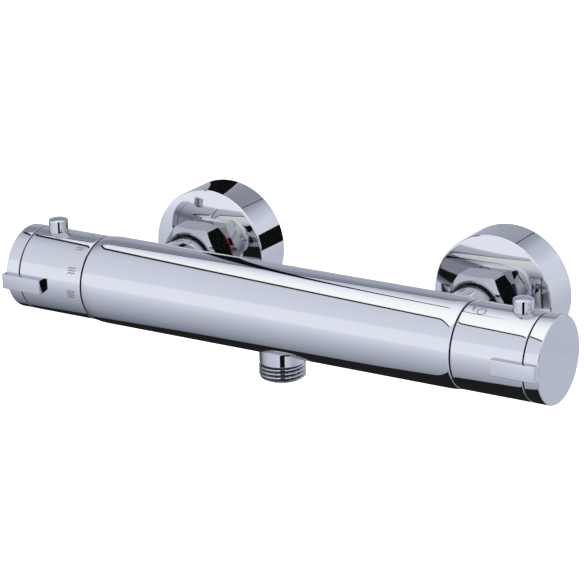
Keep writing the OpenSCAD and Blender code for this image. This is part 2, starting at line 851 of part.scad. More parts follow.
module knob_carrier() {
    seat_low = spring_seat_top - spring_seat_thick;
    rib_in = button_x + catch_stem_r + seat_rib_clear;
    difference() {
        union() {
            along_x(web_in, web_out, sleeve_bore - fit);
            along_x(hub_in, web_out, hub_r);
            translate([spring_seat_in, -spring_seat_w / 2, seat_low])
                cube([web_out - spring_seat_in, spring_seat_w, spring_seat_thick]);
            translate([rib_in, -seat_rib_w / 2, 0]) cube([web_out - rib_in, seat_rib_w, seat_low + face]);
        }
        difference() {
            along_x(hub_in - over, web_in, spline_r + fit);
            for (i = [0 : spline_count - 1]) rotate([360 * i / spline_count, 0, 0])
                translate([0, 0, spline_r + fit]) along_x(hub_in, web_in, spline_key_r);
        }
        along_x(hub_in, web_out + over, screw_r + 4 * fit);
        translate([button_x, 0, 0]) along_z(0, catch_low, catch_stem_r + stem_clear);
    }
}
module lever_cap(lean) {
    paddle_in = knob_out - lever_len;
    paddle_root = sleeve_bore;
    cap_bore = knob_r - cap_wall;
    plug_in = cap_in - cap_gap - cap_plug_len;
    plug_r = sleeve_bore - fit;
    difference() {
        union() {
            along_x(cap_in, knob_out - cap_bevel, knob_r);
            cone_x(knob_out - cap_bevel, knob_out, knob_r, knob_r - cap_bevel);
            along_x(plug_in, cap_in + over, plug_r);
            difference() {
                rotate([lean, 0, 0]) translate([paddle_in, -knob_r - lever_proud, -lever_h / 2])
                    cube([lever_len, knob_r + lever_proud - paddle_root, lever_h]);
                along_x(paddle_in - over, cap_in, knob_r + lever_clear);
            }
        }
        along_x(plug_in - over, knob_out - cap_wall, plug_r - cap_plug_wall);
    }
}
module knob_screw() {
    difference() {
        union() {
            along_x(web_out - screw_len, web_out + face, screw_r);
            along_x(web_out + face, web_out + face + screw_head_len, screw_head_r);
        }
        translate([web_out + screw_head_len / 3, 0, 0]) rotate([0, 90, 0])
            cylinder(h = screw_head_len, r = screw_key_r, $fn = 6);
    }
}
module push_button() {
    foot = catch_top + face;
    translate([button_x, 0, 0]) difference() {
        rotate_extrude() polygon([
            [0, foot], [button_r, foot], [button_r, button_top - button_bevel],
            [button_r - button_bevel, button_top], [0, button_top]]);
        along_z(catch_top, catch_top + catch_peg_len + 2 * face, catch_peg_r + fit);
    }
}
module button_catch() {
    arm_in = stop_finger_end - catch_arm_overlap;
    translate([button_x, 0, 0]) {
        along_z(catch_low, catch_top, catch_flange_r);
        along_z(catch_top - face, catch_top + catch_peg_len, catch_peg_r);
        along_z(catch_low - catch_stem_len, catch_low + face, catch_stem_r);
    }
    translate([arm_in, -catch_arm_w / 2, catch_low])
        cube([button_x - arm_in, catch_arm_w, catch_arm_thick]);
}
module button_spring() {
    from = spring_seat_top + face;
    to = catch_low - face;
    translate([button_x, 0, from]) coil(button_spring_r, button_wire_r, button_turns, to - from);
}

// Temperature side
module temperature_spindle() {
    collar_out = bonnet_bore_end - face;
    color("goldenrod") at_bar() {
        spindle_end(collar_out - over);
        along_x(collar_out - collar_len, collar_out, collar_r);
        along_x(drive_out - 1.5 * drive_thread_len, collar_out - collar_len + over, drive_thread_r);
    }
}
module temperature_spindle_o_rings() { color("black") at_bar() spindle_o_rings(); }
module temperature_circlip() { color("silver") at_bar() circlip(); }
module temperature_stop_ring() {
    color("crimson") at_bar()
        stop_ring(hot_turn + stop_offset_deg, -cold_turn - stop_offset_deg);
}
module temperature_knob_sleeve() { color("gainsboro") at_bar() knob_sleeve(); }
module temperature_knob_carrier() { color("white") at_bar() knob_carrier(); }
module temperature_lever_cap() { color("gainsboro") at_bar() lever_cap(temperature_lever_lean); }
module temperature_knob_screw() { color("silver") at_bar() knob_screw(); }
module temperature_button() { color("gainsboro") at_bar() push_button(); }
module temperature_button_catch() { color("white") at_bar() button_catch(); }
module temperature_button_spring() { color("lightsteelblue") at_bar() button_spring(); }

// Flow side
module flow_headwork_shell() {
    thread_in = body_end - flow_thread_len + 4 * face;
    window_in = flow_bore_end - flow_guide_len - 4 * face - flow_window_len;
    color("goldenrod") at_flow_end() difference() {
        union() {
            along_x(flow_shell_in, thread_in + over, flow_shell_r);
            along_x(thread_in, body_end + over, small_r - fit);
            translate([body_end + face, 0, 0]) rotate([0, 90, 0])
                cylinder(h = flow_hex_len, r = flow_hex_r, $fn = 6);
            along_x(body_end, neck_end, neck_r);
        }
        along_x(flow_shell_in - over, flow_bore_end, flow_shell_bore);
        along_x(flow_shell_in, neck_end + over, spindle_bore);
        translate([window_in, -flow_window_w / 2, -flow_chamber_r])
            cube([flow_window_len, flow_window_w, 2 * flow_chamber_r]);
    }
}
module flow_headwork_o_ring() {
    color("black") at_flow_end() ring_x(body_end - flow_ring_seat_len / 2,
        flow_ring_seat_r - ring_squeeze - flow_ring_r, flow_ring_r);
}
module flow_disc_seal() {
    color("black") at_flow_end() tube_x(flow_seat + face, flow_seat + flow_seal_len,
        disc_r, flow_seal_bore);
}
module ceramic_disc(from, hole_deg) {
    difference() {
        along_x(from, from + disc_thick, disc_r);
        for (a = [0, 180]) rotate([hole_deg + a, 0, 0]) translate([0, 0, disc_hole_place])
            along_x(from - over, from + disc_thick + over, disc_hole_r);
    }
}
module flow_fixed_disc() {
    color("whitesmoke") at_flow_end() ceramic_disc(flow_seat + flow_seal_len + face, 0);
}
module flow_turning_disc() {
    from = flow_seat + flow_seal_len + disc_thick + 2 * face;
    tongue_in = from + disc_thick - drive_tongue_len;
    color("whitesmoke") at_flow_end() difference() {
        ceramic_disc(from, 90);
        translate([tongue_in - face, -drive_tongue_w / 2 - face, -disc_r - over])
            cube([drive_tongue_len + over, drive_tongue_w + 2 * face, 2 * (disc_r + over)]);
    }
}
module flow_spindle() {
    head_in = flow_seat + flow_seal_len + 2 * disc_thick + 3 * face;
    guide_out = flow_bore_end - face;
    head_r = flow_shell_bore - 2 * run;
    color("goldenrod") at_flow_end() {
        spindle_end(guide_out - over);
        along_x(guide_out - flow_guide_len, guide_out, head_r);
        along_x(head_in, guide_out - flow_guide_len + over, flow_waist_r);
        along_x(head_in, head_in + flow_head_len, head_r);
        intersection() {
            along_x(head_in - drive_tongue_len, head_in + face, disc_r);
            translate([head_in - drive_tongue_len, -drive_tongue_w / 2, -disc_r])
                cube([drive_tongue_len + face, drive_tongue_w, 2 * disc_r]);
        }
    }
}
module flow_spindle_o_rings() { color("black") at_flow_end() spindle_o_rings(); }
module flow_circlip() { color("silver") at_flow_end() circlip(); }
module flow_stop_ring() {
    color("white") at_flow_end() stop_ring(stop_offset_deg, -flow_turn - stop_offset_deg);
}
module flow_knob_sleeve() { color("gainsboro") at_flow_end() knob_sleeve(); }
module flow_knob_carrier() { color("white") at_flow_end() knob_carrier(); }
module flow_lever_cap() { color("gainsboro") at_flow_end() lever_cap(flow_lever_lean); }
module flow_knob_screw() { color("silver") at_flow_end() knob_screw(); }
module flow_button() { color("gainsboro") at_flow_end() push_button(); }
module flow_button_catch() { color("white") at_flow_end() button_catch(); }
module flow_button_spring() { color("lightsteelblue") at_flow_end() button_spring(); }

valve_body();
outlet_nipple();
hot_inlet_nipple();
cold_inlet_nipple();
hot_union_nut();
cold_union_nut();
hot_eccentric();
cold_eccentric();
hot_flange();
cold_flange();
hot_marker_ring();
cold_marker_ring();
union_seals();
inlet_filters();
check_valve_cages();
hot_check_poppet();
cold_check_poppet();
hot_check_spring();
cold_check_spring();
thermostat_port_body();
thermostat_bonnet();
thermostat_ring_nut();
thermostat_o_rings();
thermostat_strainers();
mixing_shuttle();
shuttle_o_ring();
wax_element();
wax_piston();
mixing_return_spring();
overtravel_cup();
overtravel_spring();
drive_nut();
temperature_spindle();
temperature_spindle_o_rings();
temperature_circlip();
temperature_stop_ring();
temperature_knob_sleeve();
temperature_knob_carrier();
temperature_lever_cap();
temperature_knob_screw();
temperature_button();
temperature_button_catch();
temperature_button_spring();
flow_headwork_shell();
flow_headwork_o_ring();
flow_disc_seal();
flow_fixed_disc();
flow_turning_disc();
flow_spindle();
flow_spindle_o_rings();
flow_circlip();
flow_stop_ring();
flow_knob_sleeve();
flow_knob_carrier();
flow_lever_cap();
flow_knob_screw();
flow_button();
flow_button_catch();
flow_button_spring();
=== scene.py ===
import math
import bmesh
import bpy
import numpy as np
from mathutils import Matrix, Vector


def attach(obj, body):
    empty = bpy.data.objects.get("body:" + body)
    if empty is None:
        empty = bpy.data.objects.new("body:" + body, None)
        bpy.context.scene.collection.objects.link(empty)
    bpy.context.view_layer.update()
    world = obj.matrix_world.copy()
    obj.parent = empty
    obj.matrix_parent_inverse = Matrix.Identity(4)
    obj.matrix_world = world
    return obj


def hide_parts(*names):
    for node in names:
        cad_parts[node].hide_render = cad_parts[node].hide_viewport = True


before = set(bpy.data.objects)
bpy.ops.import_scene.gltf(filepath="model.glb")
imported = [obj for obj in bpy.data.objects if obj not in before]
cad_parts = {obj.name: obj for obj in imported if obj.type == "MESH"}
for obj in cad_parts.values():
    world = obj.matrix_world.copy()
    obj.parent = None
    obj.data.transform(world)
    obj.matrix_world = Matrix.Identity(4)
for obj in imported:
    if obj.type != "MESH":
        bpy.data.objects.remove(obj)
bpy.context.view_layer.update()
print("frame loaded:", len(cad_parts), "nodes")

# Lengths are millimetres from the bar's centre line, x along the bar, y to the wall, z up.
bar = {"centre": (0.0, -76.6, 7.5), "radius": 20.0, "inlet": 75.0, "wall": 76.6}
perMetre = 0.001
sameSpot = 2e-7  # metres within which two points become one
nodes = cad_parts


# Four-cornered faces of an nu by nv grid, closed on itself where a loop flag is set.
def weave(nu, nv, loopU, loopV):
    i, j = np.meshgrid(np.arange(nu if loopU else nu - 1), np.arange(nv if loopV else nv - 1),
                       indexing="ij")
    after, beside = (i + 1) % nu, (j + 1) % nv
    corners = [i * nv + j, after * nv + j, after * nv + beside, i * nv + beside]
    return np.stack(corners, -1).reshape(-1, 4)


# A profile of (along, radius) pairs carried round an axis: at angle a the point is
# radius * (cos a, sin a) across the axis and along on it.
def turned(profile, steps, axis, centre=(0, 0, 0)):
    a = np.linspace(0, 2 * math.pi, steps, endpoint=False)[:, None]
    along, radius = np.asarray(profile, float).T
    across = [radius * np.cos(a), radius * np.sin(a)]
    flat = np.broadcast_to(along, across[0].shape)
    order = {"x": [flat, across[0], across[1]],
             "y": [across[1], flat, across[0]],
             "z": [across[0], across[1], flat]}
    return np.stack(order[axis], -1) + np.asarray(centre, float)


# Points at angle a round the y axis through centre: (radius sin a, along, radius cos a).
def roundY(a, along, radius, centre):
    along = np.broadcast_to(along, radius.shape)
    return np.stack([radius * np.sin(a), along, radius * np.cos(a)], -1) + np.asarray(centre, float)


# Corners of (along, radius, ease) made round: each corner with an ease becomes the parabola
# (1-t)^2 A + 2t(1-t) B + t^2 C from ease before it to ease after it.
def eased(corners, closed=True, steps=6):
    points = np.asarray(corners, float)
    before, after = np.roll(points, 1, 0), np.roll(points, -1, 0)
    made = []
    for k, (p, b, a) in enumerate(zip(points, before, after)):
        if p[2] <= 0 or (not closed and k in (0, len(points) - 1)):
            made.append(p[None, :2])
            continue
        ends = [p[:2] + (q[:2] - p[:2]) * min(p[2] / np.linalg.norm(q[:2] - p[:2]), 0.5)
                for q in (b, a)]
        t = np.linspace(0, 1, steps + 1)[:, None]
        made.append((1 - t) ** 2 * ends[0] + 2 * t * (1 - t) * p[:2] + t ** 2 * ends[1])
    return np.concatenate(made)


# A box with round edges: a core box's corner plus ease times the unit direction (u, v),
# where u goes round in four quarters and v from pole to pole in two halves.
def roundedBox(low, high, ease, steps=5):
    low, high = np.asarray(low, float), np.asarray(high, float)
    quarter = np.linspace(0, math.pi / 2, steps)
    u = np.concatenate([quarter + k * math.pi / 2 for k in range(4)])
    signU = np.repeat([[1, 1], [-1, 1], [-1, -1], [1, -1]], steps, axis=0)
    v = np.concatenate([quarter - math.pi / 2, quarter])
    signV = np.repeat([-1, 1], steps)
    direction = np.stack([np.cos(u)[:, None] * np.cos(v), np.sin(u)[:, None] * np.cos(v),
                          np.broadcast_to(np.sin(v), (len(u), len(v)))], -1)
    sign = np.stack([np.broadcast_to(signU[:, :1], direction.shape[:2]),
                     np.broadcast_to(signU[:, 1:], direction.shape[:2]),
                     np.broadcast_to(signV, direction.shape[:2])], -1)
    return (low + high) / 2 + sign * ((high - low) / 2 - ease) + ease * direction


threadForm = {"crest": 0.22, "flank": 0.56}  # shares of half a pitch


# A tube whose outside is a thread: at angle a and height h the radius falls from the crest by
# depth * (a trapezium wave of h / pitch - a / 2 pi), less a taper over the first and last lead.
def screwTube(start, turns, pitch, crest, depth, bore, perTurn=10, steps=96, lead=1.0):
    a = np.linspace(0, 2 * math.pi, steps, endpoint=False)[:, None]
    length = turns * pitch
    h = np.linspace(0, length, int(turns * perTurn) + 1)
    wave = np.abs(((h / pitch - a / (2 * math.pi)) % 1.0) * 2 - 1)
    share = np.clip((wave - threadForm["crest"]) / threadForm["flank"], 0, 1)
    taper = np.clip(1 - np.minimum(h, length - h) / lead, 0, 1)
    inner = np.full((steps, 1), bore)
    radius = np.concatenate([inner, crest - depth * np.maximum(share, taper), inner], 1)
    along = np.concatenate([[0], h, [length]]) + start
    return a, along, radius


# Puts a mesh, lamp or camera into the scene.
def addObject(name, data):
    made = bpy.data.objects.new(name, data)
    bpy.context.scene.collection.objects.link(made)
    return made


# Joins grids (points, loopU, loopV) into one mesh in its place, with doubled points merged,
# open ends closed and faces outwards.
def makeMesh(name, shells, mirror=False):
    points, faces, offset = [], [], 0
    for grid, loopU, loopV in shells:
        nu, nv = grid.shape[:2]
        points.append(grid.reshape(-1, 3))
        faces.append(weave(nu, nv, loopU, loopV) + offset)
        offset += nu * nv
    points = np.concatenate(points)
    if mirror:
        points = points * (-1, 1, 1)
    points = (points + bar["centre"]) * perMetre
    mesh = bpy.data.meshes.new(name)
    mesh.from_pydata(points.tolist(), [], np.concatenate(faces).tolist())
    work = bmesh.new()
    work.from_mesh(mesh)
    bmesh.ops.remove_doubles(work, verts=work.verts, dist=sameSpot)
    openEdges = [e for e in work.edges if e.is_boundary]
    if openEdges:
        bmesh.ops.holes_fill(work, edges=openEdges, sides=0)
    bmesh.ops.recalc_face_normals(work, faces=work.faces)
    work.to_mesh(mesh)
    work.free()
    return mesh


# Smooth shading, with a hard edge wherever two faces meet at more than crease degrees.
def smooth(mesh, crease):
    mesh.shade_smooth()
    mesh.set_sharp_from_angle(angle=math.radians(crease))


# Makes a piece of the object from its grids. The mask function picks by their middles the faces of gaps,
# grooves and thread roots, which get a near-black finish: painted shade.
def makePiece(name, shells, body, finish, replaces=(), mirror=False, crease=32, findGapShade=None):
    mesh = makeMesh(name, shells, mirror)
    smooth(mesh, crease)
    piece = addObject(name, mesh)
    mesh.materials.append(finish)
    if findGapShade:
        mesh.materials.append(finishes["gapShade"])
        middle = np.empty(len(mesh.polygons) * 3)
        mesh.polygons.foreach_get("center", middle)
        gapShade = findGapShade(middle.reshape(-1, 3) / perMetre - bar["centre"])
        mesh.polygons.foreach_set("material_index", gapShade.astype(np.int32))
    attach(piece, body)
    if replaces:
        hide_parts(*replaces)
    return piece


chromeMirror = (0.62, 0.6233, 0.6333)  # what polished chrome gives back of red, green and blue
noise = {"wideScale": 45.0, "wideDetail": 4.0, "fineDetail": 5.0, "low": 0.3, "high": 0.7,
         "bumpDistance": 0.0002}


# A finish whose colour follows a wide noise, and its roughness and relief a fine one: the colour
# stays within shade of itself, the roughness within spread of rough.
def makeFinish(name, colour, metal, rough, spread, grain, relief, shade, stretch=(1, 1, 1), coat=0.0):
    material = bpy.data.materials.new(name)
    material.use_nodes = True
    tree = material.node_tree
    shader = tree.nodes["Principled BSDF"]
    shader.inputs["Metallic"].default_value = metal
    shader.inputs["Coat Weight"].default_value = coat
    place = tree.nodes.new("ShaderNodeTexCoord")
    mapping = tree.nodes.new("ShaderNodeMapping")
    mapping.inputs["Scale"].default_value = stretch
    tree.links.new(place.outputs["Object"], mapping.inputs["Vector"])
    wide, fine = tree.nodes.new("ShaderNodeTexNoise"), tree.nodes.new("ShaderNodeTexNoise")
    wide.inputs["Scale"].default_value = noise["wideScale"]
    wide.inputs["Detail"].default_value = noise["wideDetail"]
    fine.inputs["Scale"].default_value = grain
    fine.inputs["Detail"].default_value = noise["fineDetail"]
    tree.links.new(mapping.outputs["Vector"], wide.inputs["Vector"])
    tree.links.new(mapping.outputs["Vector"], fine.inputs["Vector"])
    tint = tree.nodes.new("ShaderNodeMix")
    tint.data_type = "RGBA"
    tint.inputs["A"].default_value = (*[c * (1 - shade) for c in colour], 1)
    tint.inputs["B"].default_value = (*[c * (1 + shade) for c in colour], 1)
    tree.links.new(wide.outputs["Fac"], tint.inputs["Factor"])
    tree.links.new(tint.outputs["Result"], shader.inputs["Base Color"])
    gloss = tree.nodes.new("ShaderNodeMapRange")
    gloss.inputs["From Min"].default_value = noise["low"]
    gloss.inputs["From Max"].default_value = noise["high"]
    gloss.inputs["To Min"].default_value = rough - spread
    gloss.inputs["To Max"].default_value = rough + spread
    tree.links.new(fine.outputs["Fac"], gloss.inputs["Value"])
    tree.links.new(gloss.outputs["Result"], shader.inputs["Roughness"])
    bump = tree.nodes.new("ShaderNodeBump")
    bump.inputs["Strength"].default_value = relief
    bump.inputs["Distance"].default_value = noise["bumpDistance"]
    tree.links.new(fine.outputs["Fac"], bump.inputs["Height"])
    tree.links.new(bump.outputs["Normal"], shader.inputs["Normal"])
    return material


# name, colour, metal, roughness and its spread, scale of the fine grain, relief, change of shade
finishes = {
    "chrome": makeFinish("polishedChrome", chromeMirror, 1.0, 0.035, 0.015, 500.0, 0.006, 0.012),
    # Chrome for the union nuts, darker than the bar's: painted shade.
    "shadedNutChrome": makeFinish("shadedNutChrome", (0.45, 0.455, 0.475), 1.0, 0.06, 0.025, 600.0, 0.012, 0.02),
    "platedThread": makeFinish("platedThread", (0.55, 0.555, 0.565), 1.0, 0.14, 0.05, 1400.0, 0.05, 0.05),
    "brass": makeFinish("machinedBrass", (0.78, 0.57, 0.25), 1.0, 0.27, 0.08, 1600.0, 0.12, 0.06, (6, 1, 1)),
    "steel": makeFinish("drawnSteel", (0.62, 0.63, 0.65), 1.0, 0.24, 0.07, 1800.0, 0.08, 0.05),
    "copper": makeFinish("drawnCopper", (0.76, 0.42, 0.28), 1.0, 0.25, 0.07, 1500.0, 0.08, 0.07),
    "rubber": makeFinish("mouldedRubber", (0.025, 0.025, 0.027), 0.0, 0.55, 0.12, 2200.0, 0.15, 0.2),
    "whitePlastic": makeFinish("whiteAcetal", (0.80, 0.80, 0.77), 0.0, 0.38, 0.06, 1300.0, 0.06, 0.03),
    "greyPlastic": makeFinish("glassFilledPlastic", (0.10, 0.105, 0.11), 0.0, 0.5, 0.1, 2000.0, 0.15, 0.15),
    "redPlastic": makeFinish("redMarker", (0.42, 0.012, 0.015), 0.0, 0.3, 0.06, 1300.0, 0.05, 0.06),
    "bluePlastic": makeFinish("blueMarker", (0.015, 0.014, 0.20), 0.0, 0.3, 0.06, 1300.0, 0.05, 0.06),
    "ceramic": makeFinish("lappedAlumina", (0.86, 0.86, 0.84), 0.0, 0.12, 0.05, 1700.0, 0.03, 0.03, coat=0.4),
    # Painted shade: a near-black finish for the faces of gaps, grooves and thread roots, where shade falls.
    "gapShade": makeFinish("paintedGapShade", (0.05, 0.05, 0.055), 0.3, 0.55, 0.1, 1500.0, 0.08, 0.15),
    "printing": makeFinish("greyPrinting", (0.17, 0.165, 0.165), 0.0, 0.45, 0.08, 2500.0, 0.05, 0.12),
}
nodeFinish = {
    "brass": ["thermostat_bonnet", "thermostat_ring_nut", "drive_nut", "temperature_spindle",
              "flow_headwork_shell", "flow_spindle"],
    "steel": ["hot_check_spring", "cold_check_spring", "inlet_filters", "thermostat_strainers",
              "wax_piston", "mixing_return_spring", "overtravel_cup", "overtravel_spring",
              "temperature_circlip", "flow_circlip", "temperature_knob_screw", "flow_knob_screw",
              "temperature_button_spring", "flow_button_spring"],
    "copper": ["wax_element"],
    "rubber": ["union_seals", "thermostat_o_rings", "shuttle_o_ring", "temperature_spindle_o_rings",
               "flow_spindle_o_rings", "flow_headwork_o_ring", "flow_disc_seal"],
    "whitePlastic": ["check_valve_cages", "hot_check_poppet", "cold_check_poppet", "mixing_shuttle",
                     "temperature_knob_carrier", "flow_knob_carrier", "temperature_button_catch",
                     "flow_button_catch", "flow_stop_ring"],
    "greyPlastic": ["thermostat_port_body"],
    "redPlastic": ["temperature_stop_ring"],
    "ceramic": ["flow_fixed_disc", "flow_turning_disc"],
    "platedThread": ["hot_inlet_nipple", "cold_inlet_nipple"],
}
for kind, names in nodeFinish.items():
    for name in names:
        nodes[name].data.materials.clear()
        nodes[name].data.materials.append(finishes[kind])
print("finishes made:", len(finishes))


bodyShape = {"end": 94.42, "easeLength": 7.0, "ease": 0.6, "easePower": 2.4, "easePoints": 13,
             "corner": 0.15, "plain": 80, "plainPoints": 33, "steps": 384,
             "mouth": 17.0, "mouthDepth": 8.0, "chamber": 15.6,
             "neck": 11.4, "neckBore": 9.6, "neckEnd": 38.2, "neckCorner": 0.2, "neckPlain": 6.0,
             "neckSteps": 192, "fillet": 2.6, "filletPoints": 12, "sunk": (-0.7, -3.0),
             "shadedEnd": 0.03, "shadedRadius": 19.2}


# The bar is a profile turned round x, its edge at radius - ease * (1 - t) ^ power over the ease
# length. A neck has radius neck + fillet (1 - cos w) at height fillet (1 - sin w) over the bar.
def makeBody():
    s = bodyShape
    t = np.linspace(0, 1, s["easePoints"])
    edge = np.stack([s["end"] - s["easeLength"] * t,
                     bar["radius"] - s["ease"] * (1 - t) ** s["easePower"]], -1)
    right = np.concatenate([[[s["end"], s["mouth"]], [s["end"], edge[0, 1] - s["corner"]],
                             [s["end"] - s["corner"], edge[0, 1]]], edge[1:]])
    middle = np.stack([np.linspace(s["plain"], -s["plain"], s["plainPoints"]),
                       np.full(s["plainPoints"], bar["radius"])], -1)
    left = right[::-1] * (-1, 1)
    deep = s["end"] - s["mouthDepth"]
    inner = [[-deep, s["mouth"]], [-deep, s["chamber"]], [deep, s["chamber"]], [deep, s["mouth"]]]
    tube = turned(np.concatenate([right, middle, left, inner]), s["steps"], "x")
    shells = [(tube, True, True)]
    a = np.linspace(0, 2 * math.pi, s["neckSteps"], endpoint=False)[:, None]
    w = np.linspace(0, math.pi / 2, s["filletPoints"])
    stem = [s["neckEnd"], s["neckEnd"], s["neckEnd"] - s["neckCorner"], s["neckEnd"] - s["neckPlain"]]
    radii = np.concatenate([[s["neckBore"], s["neck"] - s["neckCorner"], s["neck"], s["neck"]],
                            s["neck"] + s["fillet"] * (1 - np.cos(w)),
                            [s["neck"] + s["fillet"], s["neckBore"]]])
    radius = np.broadcast_to(radii, (s["neckSteps"], len(radii)))
    surface = np.sqrt(bar["radius"] ** 2 - (radius * np.cos(a)) ** 2)[:, len(stem):]
    lift = np.concatenate([s["fillet"] * (1 - np.sin(w)), s["sunk"]])
    along = np.concatenate([np.broadcast_to(stem, (s["neckSteps"], len(stem))), surface + lift], 1)
    for side in (-1, 1):
        shells.append((roundY(a, along, radius, (side * bar["inlet"], 0, 0)), True, True))
    # The bar's end faces, in the gaps to the knobs, are near-black as painted shade.
    makePiece("valveBodyBar", shells, "valve", finishes["chrome"], ["valve_body"],
              crease=28, findGapShade=lambda m: (np.abs(m[:, 0]) > s["end"] - s["shadedEnd"])
              & (np.hypot(m[:, 1], m[:, 2]) < s["shadedRadius"]))


makeBody()
print("valve body made")


outletShape = {"neck": 10.2, "neckTop": -16.2, "shoulder": -23.65, "gap": 0.05, "ease": 0.35,
               "steps": 192, "bottom": -30.9, "pitch": 1.814, "crest": 10.48, "depth": 1.162,
               "bore": 6.5, "turns": 4, "perTurn": 16, "threadSteps": 144, "lead": 0.9,
               "shadedFrom": 0.8, "shadedTo": 0.3, "shadedShare": 0.72, "shadedInner": 8}


# A plain neck turned round z, with the hose's thread under its shoulder, its roots near-black as painted
# shade.
def makeOutlet():
    s = outletShape
    a, along, radius = screwTube(s["bottom"], s["turns"], s["pitch"], s["crest"], s["depth"], s["bore"],
                                 s["perTurn"], s["threadSteps"], s["lead"])
    thread = np.stack([radius * np.cos(a), radius * np.sin(a), np.broadcast_to(along, radius.shape)], -1)
    foot = s["shoulder"] - s["gap"]
    neck = eased([(s["neckTop"], s["bore"], 0), (s["neckTop"], s["neck"], 0),
                  (foot, s["neck"], s["ease"]), (foot, s["bore"], 0)])

    def roots(m):
        height, out = m[:, 2], np.hypot(m[:, 0], m[:, 1])
        return ((height < s["shoulder"] + s["shadedTo"]) & (height > s["bottom"] + s["shadedFrom"])
                & (out < s["crest"] - s["shadedShare"] * s["depth"]) & (out > s["shadedInner"]))

    makePiece("hoseOutlet", [(thread, True, True), (turned(neck, s["steps"], "z"), True, True)], "valve",
              finishes["chrome"], ["outlet_nipple"], crease=40, findGapShade=roots)


makeOutlet()
print("outlet made")


nutShape = {"start": 39.5, "end": 53.6, "flats": 30.0, "chamfer": 13.7, "cone": 0.7, "corner": 0.25,
            "soft": 0.12, "recessDepth": 1.7, "recess": 12.6, "hole": 11.6, "back": 13.27,
            "lip": 43.0, "steps": 360, "shadedSlack": 0.05, "shadedPast": 0.1}


# A six-sided nut: the side lies at flats / (2 cos b), b the angle from the nearest flat's middle,
# and each end is cut by a cone that starts at the chamfer radius. Its front is recessed; the recess's
# floor and the bore behind it are near-black as painted shade.
def makeNut(word, centre):
    s = nutShape
    start, end, soft, floor = s["start"], s["end"], s["soft"], s["start"] + s["recessDepth"]
    a = np.linspace(0, 2 * math.pi, s["steps"], endpoint=False)
    b = np.abs((a + math.pi / 6) % (math.pi / 3) - math.pi / 6)
    side = np.minimum(s["flats"] / 2 / np.cos(b), s["flats"] / 2 / math.cos(math.pi / 6) - s["corner"])
    face = np.minimum(side, s["chamfer"])
    drop = np.maximum(side - s["chamfer"], 0) * s["cone"]
    rows = [(s["lip"], s["back"]), (s["lip"], s["hole"]), (floor, s["hole"]), (floor, s["recess"]),
            (start + soft, s["recess"]), (start, s["recess"] + soft),
            (start, face - soft), (start + soft * 0.5, face),
            (start + drop + soft, side), (start + drop + 3 * soft, side),
            (end - drop - 3 * soft, side), (end - drop - soft, side),
            (end - soft * 0.5, face), (end, face - soft),
            (end, s["back"] + soft), (end - soft, s["back"])]
    along, radius = (np.stack([np.broadcast_to(row[k], a.shape) for row in rows], 1) for k in (0, 1))
    # The nut's darker chrome is painted shade.
    makePiece(word + "UnionNut", [(roundY(a[:, None], along, radius, centre), True, True)], "valve",
              finishes["shadedNutChrome"], [word + "_union_nut"], crease=24,
              findGapShade=lambda m: (m[:, 1] > floor - s["shadedSlack"]) & (m[:, 1] < s["lip"] + s["shadedPast"])
              & (np.hypot(m[:, 0] - centre[0], m[:, 2]) < s["recess"] - s["shadedSlack"]))


ringShape = {"front": 53.65, "back": 54.45, "inner": 13.27, "outer": 13.75, "ease": 0.15, "steps": 144}


# A flat ring turned round y behind the nut, with both outer corners eased.
def makeRing(word, centre, finish):
    s = ringShape
    flat = eased([(s["front"], s["inner"], 0), (s["front"], s["outer"], s["ease"]),
                  (s["back"], s["outer"], s["ease"]), (s["back"], s["inner"], 0)])
    makePiece(word + "MarkerRing", [(turned(flat, s["steps"], "y", centre), True, True)], "valve",
              finishes[finish], [word + "_marker_ring"])


eccentricShape = {"pitch": 1.814, "depth": 1.162, "collar": 3.0, "stub": 2.9, "drop": -7.5, "steps": 96,
                  # start, turns, crest and bore of each thread
                  "nutThread": (46.65, 8, 13.22, 8.5), "wallThread": (76.6, 9, 10.48, 7.2)}


# A thread in the nut with a collar behind it, then a stub and a thread for the wall, whose common
# centre line lies lower by the drop. All are turned round y.
def makeEccentric(word, centre):
    s = eccentricShape
    begin, turns, crest, bore = s["nutThread"]
    a, along, radius = screwTube(begin, turns, s["pitch"], crest, s["depth"], bore)
    shells = [(roundY(a, along, radius, centre), True, True)]
    joint, root = begin + turns * s["pitch"], crest - s["depth"]
    collar = [(joint, 0), (joint, root), (joint + s["collar"], root), (joint + s["collar"], 0)]
    shells.append((turned(collar, s["steps"], "y", centre), True, False))
    begin, turns, crest, bore = s["wallThread"]
    low, root = (centre[0], 0, s["drop"]), crest - s["depth"]
    stub = [(joint + s["stub"], bore), (joint + s["stub"], root), (begin, root), (begin, bore)]
    shells.append((turned(stub, s["steps"], "y", low), True, True))
    a, along, radius = screwTube(begin, turns, s["pitch"], crest, s["depth"], bore)
    shells.append((roundY(a, along, radius, low), True, True))
    makePiece(word + "EccentricUnion", shells, "valve", finishes["platedThread"],
              [word + "_eccentric"], crease=40)


flangeShape = {"radius": 29.3, "front": 57.0, "rise": 3.0, "curve": 143.08, "wall": 1.8, "skin": 2.0,
               "bevel": 0.7, "hole": 13.27, "hub": 15.67, "hubEnd": 61.16, "corner": 0.15,
               "tip": [(0.35, 0.12), (0.0, 0.45)],  # share of the bevel, lift over the bowl
               "rimLift": 1.2, "facePoints": 40, "rimPoints": 9, "backPoints": 20, "steps": 384}


